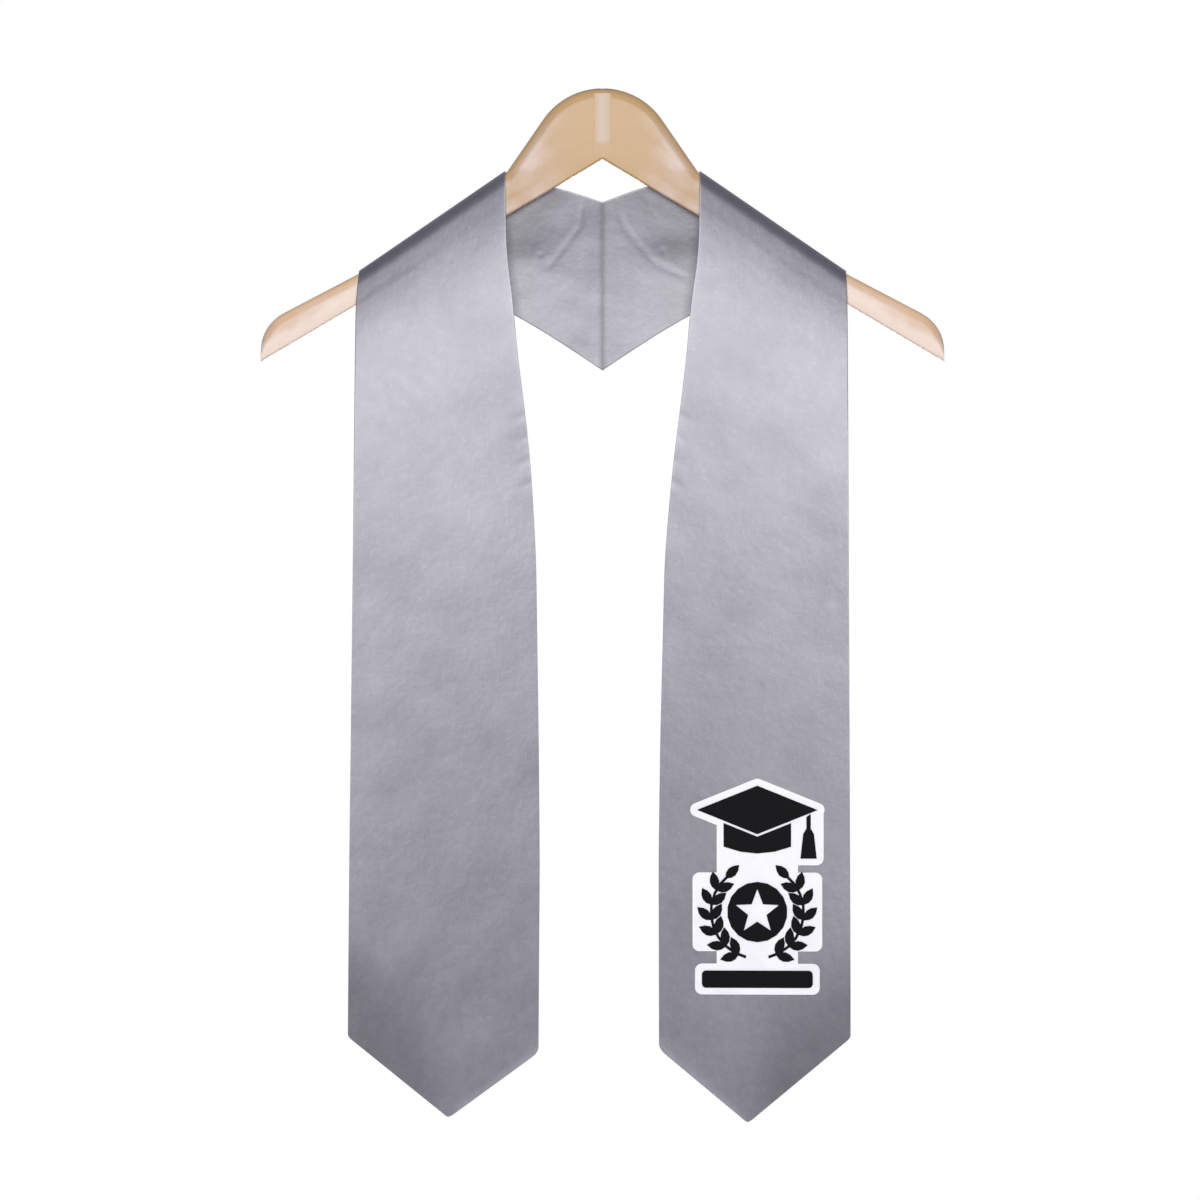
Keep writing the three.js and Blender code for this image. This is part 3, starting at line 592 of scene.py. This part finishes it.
def cloth_object(name, band, grid, front_rows):
    """Closed cloth about a grid of middle points, on its band's side of the centre."""
    along = path_lengths(grid, 0)
    across = path_lengths(grid, 1)
    half = CLOTH_WALL / 2 * edge_profile(along) * edge_profile(along[-1] - along, SEAM_ROUND)
    half *= edge_profile(across) * edge_profile(across[:, -1:] - across)
    normals = grid_normals(grid)
    skins = np.stack([grid + normals * half[..., None], grid - normals * half[..., None]])
    rows, columns = grid.shape[:2]
    numbers = np.arange(rows * columns).reshape(rows, columns)
    inner = numbers + rows * columns
    inner[[0, -1]] = numbers[[0, -1]]
    inner[:, [0, -1]] = numbers[:, [0, -1]]
    faces = []
    for skin, turned in ((numbers, False), (inner, True)):
        corners = [skin[:-1, :-1], skin[1:, :-1], skin[1:, 1:], skin[:-1, 1:]]
        quads = np.stack(corners, axis=-1).reshape(-1, 4)
        faces.append(quads[:, ::-1] if turned else quads)
    faces = np.concatenate(faces)
    points = skins.reshape(-1, 3) * (band["side"], 1, 1)
    if signed_volume(points, faces) < 0:
        faces = faces[:, ::-1]
    uv = thread_map(grid, front_rows).reshape(-1, 2)
    tone = cloth_tone(band, grid, front_rows).ravel()
    return mapped_object(name, points, faces, np.concatenate([uv, uv]), np.concatenate([tone, tone]))


# %% The two halves
def add_half(name, band, node):
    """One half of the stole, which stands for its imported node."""
    grid, front_rows = half_grid(band)
    piece = cloth_object(name, band, grid, front_rows)
    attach(piece, "root")
    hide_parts(node)
    return piece


satin_left = add_half("satin_left", LEFT_BAND, "stole_left_panel")
satin_right = add_half("satin_right", RIGHT_BAND, "stole_right_panel")

# %% [markdown]
# ## The wooden hanger
# The hanger is sawn from a board and rounded along its upper edge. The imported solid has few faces, so its
# round edges would show as flats. The same section, carried along the same lines at many more stations, is
# smooth.

# %% Section and outline of the hanger
RIDGE_ROUND_FRONT = 7
RIDGE_ROUND_BACK = 6
UNDERSIDE_ROUND = 3
UNDERSIDE_RISE = 0.9
UPPER_ROUND_LIMIT = 0.8
SECTION_POINTS = 72
SLOPE_STEP = 0.5
STATIONS = dict(crest=33, flank=9, shoulder=25, arm=13, nose=25)
nose_reach = HANGER_REACH - NOSE_LENGTH


def top_line(x):
    """Z of the upper outline: crest arc, straight flank, shoulder and arm, and a full rounded nose."""
    reach = np.abs(x)
    arc = np.sqrt(np.maximum(CREST_RADIUS**2 - reach**2, 0)) - CREST_RADIUS
    flank = -crest_drop - (reach - crest_reach) * np.tan(FLANK_ANGLE)
    arm = shoulder_line(SHOULDER_REACH) - (reach - SHOULDER_REACH) * np.tan(ARM_SLOPE)
    share = np.clip((reach - nose_reach) / NOSE_LENGTH, 0, 1)
    nose = arm - NOSE_DROP * (1 - (1 - share**NOSE_FULLNESS) ** (1 / NOSE_FULLNESS))
    return np.select([reach <= crest_reach, reach <= NECK_REACH, reach <= SHOULDER_REACH],
                     [arc, flank, shoulder_line(x)], nose)


def underside_line(x):
    """Z of the lower outline: two straight lines from the notch under the crest."""
    return -NECK_DEPTH - np.abs(x) * np.tan(UNDERSIDE_SLOPE)


def hanger_places():
    """Places along X for the sections of one side, closest where the outline bends."""
    crest = CREST_RADIUS * np.sin(FLANK_ANGLE * np.linspace(0, 1, STATIONS["crest"]))
    flank = np.linspace(crest_reach, NECK_REACH, STATIONS["flank"])[1:]
    shoulder = np.linspace(NECK_REACH, SHOULDER_REACH, STATIONS["shoulder"])[1:]
    arm = np.linspace(SHOULDER_REACH, nose_reach, STATIONS["arm"])[1:]
    nose = nose_reach + NOSE_LENGTH * np.sin(np.pi / 2 * np.linspace(0, 1, STATIONS["nose"]))[1:]
    return np.concatenate([crest, flank, shoulder, arm, nose])


def hanger_grid():
    """Sections along X: half ellipses over the top, deeper in front, and small full corners below."""
    side = hanger_places()
    x = np.concatenate([-side[:0:-1], side])[:, None]
    top = top_line(x)
    bottom = underside_line(x)
    height = top - bottom
    rise = (top_line(np.abs(x) + SLOPE_STEP) - top) / SLOPE_STEP
    stretch = np.minimum(np.sqrt(1 + rise**2), 1 / np.cos(FLANK_ANGLE))
    front = np.minimum(RIDGE_ROUND_FRONT * stretch, height * UPPER_ROUND_LIMIT)
    back = np.minimum(RIDGE_ROUND_BACK * stretch, height * UPPER_ROUND_LIMIT)
    lower = np.minimum(UNDERSIDE_ROUND, height * (1 - UPPER_ROUND_LIMIT))
    upper_angle = np.linspace(0, np.pi, SECTION_POINTS // 2 + 1)[None]
    lower_angle = upper_angle[:, 1:-1]
    upper_y = -np.cos(upper_angle)
    upper_z = top - np.where(upper_angle < np.pi / 2, front, back) * (1 - np.sin(upper_angle))
    lower_y = np.sign(np.cos(lower_angle)) * np.sqrt(np.abs(np.cos(lower_angle)))
    lower_z = bottom + lower * (1 - np.sqrt(np.sin(lower_angle))) + UNDERSIDE_RISE * (1 + lower_y) / 2
    y = np.concatenate([np.repeat(upper_y, len(x), 0), np.repeat(lower_y, len(x), 0)], axis=1)
    z = np.concatenate([upper_z, lower_z], axis=1)
    y = sweep(x) + half_thickness(x) * y
    return np.stack([np.repeat(x, y.shape[1], 1), y, z], axis=-1)


print("sections along the hanger:", len(hanger_grid()))

# %% Hanger body
FLAT_WIDTH = 11
FLAT_LENGTH = 37
FLAT_DEPTH = 0.9
HOLE_DIAMETER = 4.2
HOLE_DEPTH = 16
HOLE_SIDES = 48
TOOL_ABOVE = 5
SHARP_ANGLE = np.radians(38)
ON_FLAT = 0.01


def tube_faces(rows, columns):
    """Quads around a tube of closed rows of points."""
    numbers = np.arange(rows * columns).reshape(rows, columns)
    turned = np.roll(numbers, -1, axis=1)
    quads = np.stack([numbers[:-1], numbers[1:], turned[1:], turned[:-1]], axis=-1)
    return quads.reshape(-1, 4)


def tube_object(name, grid):
    """Closed tube through rows of points, with a face over each end."""
    rows, columns = grid.shape[:2]
    points = grid.reshape(-1, 3)
    quads = tube_faces(rows, columns)
    if signed_volume(points, quads) < 0:
        quads = quads[:, ::-1]
        ends = [list(range(columns)), list(range(rows * columns - 1, (rows - 1) * columns - 1, -1))]
    else:
        ends = [list(range(columns - 1, -1, -1)), list(range((rows - 1) * columns, rows * columns))]
    return smooth_object(name, points, quads.tolist() + ends)


def circle(radius, z, sides):
    """Ring of points about the Z axis."""
    turn = np.linspace(0, 2 * np.pi, sides, endpoint=False)
    return np.stack([radius * np.cos(turn), radius * np.sin(turn), np.full(sides, z)], axis=-1)


def box_grid(low, high):
    """Two closed rows of four points: a box from its low to its high corner."""
    (x0, y0, z0), (x1, y1, z1) = low, high
    ring = np.array([(x0, y0), (x1, y0), (x1, y1), (x0, y1)])
    return np.stack([np.column_stack([ring, np.full(4, z)]) for z in (z0, z1)])


def cut(piece, tool):
    """Takes the tool's solid out of the piece and removes the tool."""
    modifier = piece.modifiers.new("cut", "BOOLEAN")
    modifier.operation = "DIFFERENCE"
    modifier.solver = "EXACT"
    modifier.object = tool
    view = bpy.context.evaluated_depsgraph_get()
    piece.data = bpy.data.meshes.new_from_object(piece.evaluated_get(view))
    piece.modifiers.clear()
    bpy.data.objects.remove(tool)


def add_hanger():
    """The whole hanger, less the milled flat at the centre front and the hook's hole in the crest. The
    faces of the milled flat stay unsmoothed, so that its shine doesn't bend towards its edges."""
    piece = tube_object("wooden_hanger", hanger_grid())
    flat_y = FLAT_DEPTH - HANGER_THICKNESS / 2
    flat_low = (-FLAT_WIDTH / 2, -HANGER_THICKNESS, -FLAT_LENGTH)
    cut(piece, tube_object("flat_tool", box_grid(flat_low, (FLAT_WIDTH / 2, flat_y, TOOL_ABOVE))))
    hole = [circle(HOLE_DIAMETER / 2, z, HOLE_SIDES) for z in (-HOLE_DEPTH, TOOL_ABOVE)]
    cut(piece, tube_object("hole_tool", np.stack(hole)))
    piece.data.shade_smooth()
    piece.data.set_sharp_from_angle(angle=SHARP_ANGLE)
    centres = np.empty(len(piece.data.polygons) * 3)
    piece.data.polygons.foreach_get("center", centres)
    on_flat = np.isclose(centres.reshape(-1, 3)[:, 1], flat_y * MM, atol=ON_FLAT * MM)
    piece.data.polygons.foreach_set("use_smooth", ~on_flat)
    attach(piece, "root")
    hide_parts("hanger")
    return piece


hanger = add_hanger()
print("hanger faces:", len(hanger.data.polygons))

# %% [markdown]
# ## Finishes
# Each finish is a small tree of nodes, and each helper adds one node and returns its output. Patterns that
# follow the threads read the cloth's own map, which holds metres along and across it. The others read
# Object coordinates, which hold metres in the frame.

# %% Node helpers


def new_material(name):
    """Material with a Principled shader. Returns the material, a maker of nodes in it and the shader."""
    material = bpy.data.materials.new(name)
    material.use_nodes = True
    shader = material.node_tree.nodes["Principled BSDF"]

    def node(kind, inputs=None, **settings):
        made = material.node_tree.nodes.new(kind)
        for key, value in settings.items():
            setattr(made, key, value)
        for key, value in (inputs or {}).items():
            if isinstance(value, bpy.types.NodeSocket):
                material.node_tree.links.new(value, made.inputs[key])
            else:
                made.inputs[key].default_value = value
        return made

    return material, node, shader


def join(material, output, target):
    """Links an output to an input of the same tree."""
    material.node_tree.links.new(output, target)


def noise(node, places, scale, detail, roughness=0.5):
    """Cloudy pattern from 0 to 1."""
    inputs = {"Vector": places, "Scale": scale, "Detail": detail, "Roughness": roughness}
    return node("ShaderNodeTexNoise", inputs).outputs[0]


def stretched(node, places, scale):
    """Places times a scale along each axis."""
    return node("ShaderNodeMapping", {"Vector": places, "Scale": scale}).outputs[0]


def product(node, first, second):
    """First times second."""
    return node("ShaderNodeMath", {0: first, 1: second}, operation="MULTIPLY").outputs[0]


def product_plus(node, first, second, third):
    """First times second, plus third."""
    return node("ShaderNodeMath", {0: first, 1: second, 2: third}, operation="MULTIPLY_ADD").outputs[0]


def scaled(node, colour, factor):
    """Colour made lighter or darker by a factor."""
    return node("ShaderNodeVectorMath", {0: colour, "Scale": factor}, operation="SCALE").outputs[0]


def layered(node, base, colour, share):
    """The base at share 0, the colour at share 1."""
    inputs = {"Factor": share, "A": base, "B": colour}
    return node("ShaderNodeMix", inputs, data_type="RGBA").outputs["Result"]


def ranged(node, value, span, result, way="LINEAR"):
    """The result's first number before the span, its second after it, and a straight or eased way over."""
    inputs = {"Value": value, "From Min": span[0], "From Max": span[1]}
    inputs.update({"To Min": result[0], "To Max": result[1]})
    return node("ShaderNodeMapRange", inputs, interpolation_type=way).outputs[0]


def colour_ramp(node, factor, stops):
    """Colour ramp through (place, colour) stops, with colours as linear red, green and blue."""
    ramp = node("ShaderNodeValToRGB", {"Fac": factor})
    elements = ramp.color_ramp.elements
    while len(elements) < len(stops):
        elements.new(0.5)
    for element, (place, colour) in zip(elements, stops):
        element.position = place
        element.color = (*colour, 1)
    return ramp.outputs["Color"]


# %% Satin
SATIN_COLOURS = [
    (0.36, (0.252, 0.246, 0.264)),
    (0.5, (0.272, 0.266, 0.285)),
    (0.64, (0.293, 0.287, 0.307)),
]
SATIN_THREADS = (900, 60, 1)
SPECK_SPAN = (0.56, 0.72)
SPECK_TONES = (0.995, 1.07)
NOISE_MIDDLE = (0.3, 0.7)
SATIN_ROUGHNESS = (0.5, 0.54)


def satin_material():
    """Heavy satin: silver grey with a lilac cast, a long soft gloss and a mottled, pressed surface."""
    material, node, shader = new_material("satin")
    metres = node("ShaderNodeTexCoord").outputs["Object"]
    threads = stretched(node, node("ShaderNodeTexCoord").outputs["UV"], SATIN_THREADS)
    mottle = noise(node, metres, 130, 4, 0.6)
    broad = noise(node, metres, 30, 3)
    specks = noise(node, metres, 330, 2)
    streaks = noise(node, threads, 1, 3, 0.6)
    both = node("ShaderNodeMath", {0: mottle, 1: broad}, operation="ADD").outputs[0]
    colour = colour_ramp(node, product(node, both, 0.5), SATIN_COLOURS)
    # The tone attribute brings the painted highlights and painted shade of the cloth into its colour.
    tone = node("ShaderNodeAttribute", attribute_name="tone").outputs["Fac"]
    tone = product(node, tone, ranged(node, specks, SPECK_SPAN, SPECK_TONES))
    join(material, scaled(node, colour, tone), shader.inputs["Base Color"])
    join(material, ranged(node, mottle, NOISE_MIDDLE, SATIN_ROUGHNESS), shader.inputs["Roughness"])
    shader.inputs["Metallic"].default_value = 0.6
    shader.inputs["Anisotropic"].default_value = 0.72
    shader.inputs["Sheen Weight"].default_value = 0.12
    shader.inputs["Sheen Roughness"].default_value = 0.4
    tangent = node("ShaderNodeTangent", direction_type="UV_MAP", uv_map="cloth")
    join(material, tangent.outputs[0], shader.inputs["Tangent"])
    fine = node("ShaderNodeBump", {"Height": streaks, "Strength": 0.06, "Distance": 0.0004})
    pressed = node("ShaderNodeBump", {"Height": mottle, "Strength": 0.11, "Distance": 0.0012,
                                      "Normal": fine.outputs[0]})
    join(material, pressed.outputs[0], shader.inputs["Normal"])
    return material


satin = satin_material()
satin_left.data.materials.append(satin)
satin_right.data.materials.append(satin)
print("satin is on", satin_left.name, "and", satin_right.name)

# %% [markdown]
# ## The look of the wood
# The wood is golden about the crest. Its arms are tan above and rosy below, with an uneven border between
# the two. Folding the coordinates makes one pattern serve both arms, and turning them lays the grain along
# an arm. Distances are in metres: the reach from the middle, the drop below the crest and the depth from
# the front.

# %% Lacquered wood
WOOD_COLOURS = [
    (0.38, (0.46, 0.275, 0.115)),
    (0.46, (0.51, 0.33, 0.175)),
    (0.52, (0.55, 0.385, 0.26)),
    (0.6, (0.62, 0.48, 0.37)),
]
ARM_COLOURS = [
    (0.15, (0.6, 0.41, 0.26)),
    (0.45, (0.62, 0.46, 0.33)),
    (0.75, (0.74, 0.6, 0.49)),
]
CENTRE_GOLD = (0.475, 0.288, 0.105, 1)
# The next colour is a painted highlight on the milled flat, and the two after it are painted light and
# painted shade on the rounded upper edge.
FLAT_HIGHLIGHT = (0.51, 0.385, 0.27, 1)
EDGE_PAINTED_LIGHT = (0.64, 0.41, 0.18, 1)
TOP_PAINTED_SHADE = (0.26, 0.15, 0.06, 1)
GRAIN_SLOPE = np.radians(31)
GRAIN_SCALE = (10, 160, 230)
PATCH_SCALE = (32, 60, 60)
GRAIN_SHARE = 0.28
CENTRE_REACH = (0.016, 0.052)
BRIGHTER_REACH = (0.05, 0.17)
ARM_REACH = (0.1, 0.16)
PLAIN_EDGE_REACH = (0.05, 0.15)
STRIP_REACH = (0.001, 0.0068)
STRIP_DROP = (0.034, 0.038)
FRONT_DEPTH = (-0.003, 0.003)
ARM_BORDER = (0.034, 0.057)
BORDER_WAVE = 0.02
EDGE_FACING = (0.05, 0.5)
TOP_FACING = (0.8, 0.99)
# Painted light on the arms where they face up.
ARM_LIGHT_FACING = (0.05, 0.6)


def wood_material():
    """Pale lacquered wood with faint grain and a painted highlight in a pale strip on the milled flat. The
    upper edge has painted light in gold where it turns up and painted shade in dark brown on top, which is
    darkest on top of the crest and hardly shows along the arms. The arms get painted light where they face
    up."""
    material, node, shader = new_material("lacquered wood")

    def eased(value, span, *result):
        return ranged(node, value, span, result, "SMOOTHSTEP")

    metres = node("ShaderNodeTexCoord").outputs["Object"]
    folded = node("ShaderNodeVectorMath", {0: metres}, operation="ABSOLUTE").outputs[0]
    parts = node("ShaderNodeSeparateXYZ", {0: folded}).outputs
    reach, drop = parts["X"], parts["Z"]
    depth = node("ShaderNodeSeparateXYZ", {0: metres}).outputs["Y"]
    facing = node("ShaderNodeSeparateXYZ", {0: node("ShaderNodeNewGeometry").outputs["Normal"]}).outputs["Z"]
    turned = node("ShaderNodeVectorRotate", {"Vector": folded, "Angle": GRAIN_SLOPE}, rotation_type="Y_AXIS")
    grain = noise(node, stretched(node, turned.outputs[0], GRAIN_SCALE), 1, 6, 0.62)
    patches = noise(node, stretched(node, turned.outputs[0], PATCH_SCALE), 1, 3, 0.55)
    pattern = node("ShaderNodeMix", {"Factor": GRAIN_SHARE, "A": patches, "B": grain}).outputs[0]
    colour = colour_ramp(node, pattern, WOOD_COLOURS)
    colour = scaled(node, colour, eased(reach, BRIGHTER_REACH, 0.9, 1.06))
    colour = layered(node, colour, CENTRE_GOLD, eased(reach, CENTRE_REACH, 0.92, 0))
    # Painted highlight: a pale strip on the front of the milled flat.
    strip = product(node, eased(reach, STRIP_REACH, 1, 0), eased(drop, STRIP_DROP, 1, 0))
    colour = layered(node, colour, FLAT_HIGHLIGHT, product(node, strip, eased(depth, FRONT_DEPTH, 1, 0)))
    below_slope = product_plus(node, reach, -np.tan(UNDERSIDE_SLOPE), drop)
    border = product_plus(node, patches, BORDER_WAVE, below_slope)
    arm_colour = colour_ramp(node, eased(border, ARM_BORDER, 0, 1), ARM_COLOURS)
    colour = layered(node, colour, arm_colour, eased(reach, ARM_REACH, 0, 0.8))
    near = eased(reach, PLAIN_EDGE_REACH, 1, 0.3)
    # Painted light in gold where the upper edge turns up.
    colour = layered(node, colour, EDGE_PAINTED_LIGHT, product(node, eased(facing, EDGE_FACING, 0, 0.9), near))
    # Painted shade in dark brown on top of the upper edge.
    colour = layered(node, colour, TOP_PAINTED_SHADE, product(node, eased(facing, TOP_FACING, 0, 0.9), near))
    # Painted light: the arms are made lighter where they face up.
    lift = product_plus(node, eased(facing, ARM_LIGHT_FACING, 0, 0.35), eased(reach, ARM_REACH, 0, 1), 1)
    join(material, scaled(node, colour, lift), shader.inputs["Base Color"])
    shader.inputs["Roughness"].default_value = 0.52
    shader.inputs["Coat Weight"].default_value = 0.3
    shader.inputs["Coat Roughness"].default_value = 0.4
    bump = node("ShaderNodeBump", {"Height": grain, "Strength": 0.08, "Distance": 0.0005})
    join(material, bump.outputs[0], shader.inputs["Normal"])
    return material


hanger.data.materials.clear()
hanger.data.materials.append(wood_material())
print("wood is on", hanger.name)

# %% Vinyl
VINYL_SPAN = (0.35, 0.65)
VINYL_ROUGHNESS_RANGE = 0.05


def vinyl_material(name, dark, light, roughness, gloss):
    """Film pressed onto the satin: nearly one colour, with the cloth's fine grain as a bump."""
    material, node, shader = new_material(name)
    metres = node("ShaderNodeTexCoord").outputs["Object"]
    cloudy = noise(node, metres, 60, 4, 0.6)
    colour = colour_ramp(node, cloudy, list(zip(VINYL_SPAN, (dark, light))))
    join(material, colour, shader.inputs["Base Color"])
    rough = (roughness - VINYL_ROUGHNESS_RANGE, roughness + VINYL_ROUGHNESS_RANGE)
    join(material, ranged(node, cloudy, NOISE_MIDDLE, rough), shader.inputs["Roughness"])
    shader.inputs["Specular IOR Level"].default_value = gloss
    weave = noise(node, metres, 1400, 2)
    bump = node("ShaderNodeBump", {"Height": weave, "Strength": 0.15, "Distance": 0.0003})
    join(material, bump.outputs[0], shader.inputs["Normal"])
    return material


white_vinyl = vinyl_material("white vinyl", (0.86, 0.86, 0.86), (0.92, 0.92, 0.92), 0.5, 0.4)
black_vinyl = vinyl_material("black vinyl", (0.003, 0.003, 0.0035), (0.005, 0.005, 0.0055), 0.6, 0.08)
print_pieces = [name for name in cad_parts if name.startswith("emblem")]
for name in print_pieces:
    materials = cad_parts[name].data.materials
    materials.clear()
    materials.append(white_vinyl if name == "emblem_backing" else black_vinyl)
print("vinyl is on", len(print_pieces), "pieces of the print")

# %% [markdown]
# ## Stage and light
# The photograph stands on pure white, lit by one soft light in front of the shoulders: the cloth is
# brightest there and gets darker towards its ends. One wide lamp in front does that, and a second one
# lights the back. The world is white where the camera sees it. As a light it is dim and bluish in front,
# which gives the dark parts of the cloth their cast, and brighter behind, as a white backdrop is. A pale
# floor lies below the picture.

# %% Lights, world and floor
LAMP_TARGET = (0, 0, -250)
FRONT_LAMP = dict(place=(0, -1700, 55), size=(800, 350), power=26.8)
BACK_LAMP = dict(place=(0, 1400, -300), size=(900, 700), power=12)
LIGHT_IN_FRONT = (0.098, 0.092, 0.172, 1)
LIGHT_BEHIND = (0.6, 0.6, 0.62, 1)
BACKDROP_FULL = 0.6
FLOOR_DROP = 1100
FLOOR_RADIUS = 1300
FLOOR_SIDES = 96
FLOOR_COLOUR = (0.86, 0.86, 0.87, 1)
FLOOR_ROUGHNESS = 0.9


def facing_turn(direction):
    """Turn that points a lamp's -Z along a direction, as angles about X, Y and Z."""
    x, y, z = direction / np.linalg.norm(direction)
    return (np.arctan2(np.hypot(x, y), -z), 0, np.arctan2(y, x) - np.pi / 2)


def add_lamp(name, place, size, power):
    """Rectangular lamp at a place in millimetres, facing the stole. The camera doesn't see it."""
    data = bpy.data.lights.new(name, "AREA")
    data.shape = "RECTANGLE"
    data.size, data.size_y = size[0] * MM, size[1] * MM
    data.energy = power
    lamp = bpy.data.objects.new(name, data)
    lamp.location = np.array(place) * MM
    lamp.rotation_euler = facing_turn(np.array(LAMP_TARGET, float) - np.array(place, float))
    lamp.visible_camera = False
    bpy.context.scene.collection.objects.link(lamp)
    print(name, "shines with", power, "W")


def add_world():
    """White to the camera. As a light it turns from the front's colour to the backdrop's along Y."""
    world = bpy.data.worlds.new("studio")
    world.use_nodes = True
    tree = world.node_tree
    rays = tree.nodes.new("ShaderNodeLightPath")
    direction = tree.nodes.new("ShaderNodeTexCoord")
    parts = tree.nodes.new("ShaderNodeSeparateXYZ")
    tree.links.new(direction.outputs["Generated"], parts.inputs[0])
    behind = tree.nodes.new("ShaderNodeMapRange")
    behind.inputs["From Max"].default_value = BACKDROP_FULL
    tree.links.new(parts.outputs["Y"], behind.inputs["Value"])
    light = tree.nodes.new("ShaderNodeMix")
    light.data_type = "RGBA"
    light.inputs["A"].default_value = LIGHT_IN_FRONT
    light.inputs["B"].default_value = LIGHT_BEHIND
    tree.links.new(behind.outputs[0], light.inputs["Factor"])
    seen = tree.nodes.new("ShaderNodeMix")
    seen.data_type = "RGBA"
    tree.links.new(light.outputs["Result"], seen.inputs["A"])
    seen.inputs["B"].default_value = (1, 1, 1, 1)
    tree.links.new(rays.outputs["Is Camera Ray"], seen.inputs["Factor"])
    tree.links.new(seen.outputs["Result"], tree.nodes["Background"].inputs["Color"])
    bpy.context.scene.world = world


def add_floor():
    """Round pale floor under the stole."""
    edge = circle(FLOOR_RADIUS, -FLOOR_DROP, FLOOR_SIDES)
    floor = smooth_object("floor", edge, [list(range(FLOOR_SIDES))])
    material = bpy.data.materials.new("floor")
    material.use_nodes = True
    shader = material.node_tree.nodes["Principled BSDF"]
    shader.inputs["Base Color"].default_value = FLOOR_COLOUR
    shader.inputs["Roughness"].default_value = FLOOR_ROUGHNESS
    floor.data.materials.append(material)


add_lamp("front_lamp", **FRONT_LAMP)
add_lamp("back_lamp", **BACK_LAMP)
add_world()
add_floor()
bpy.context.scene.view_settings.view_transform = "Standard"
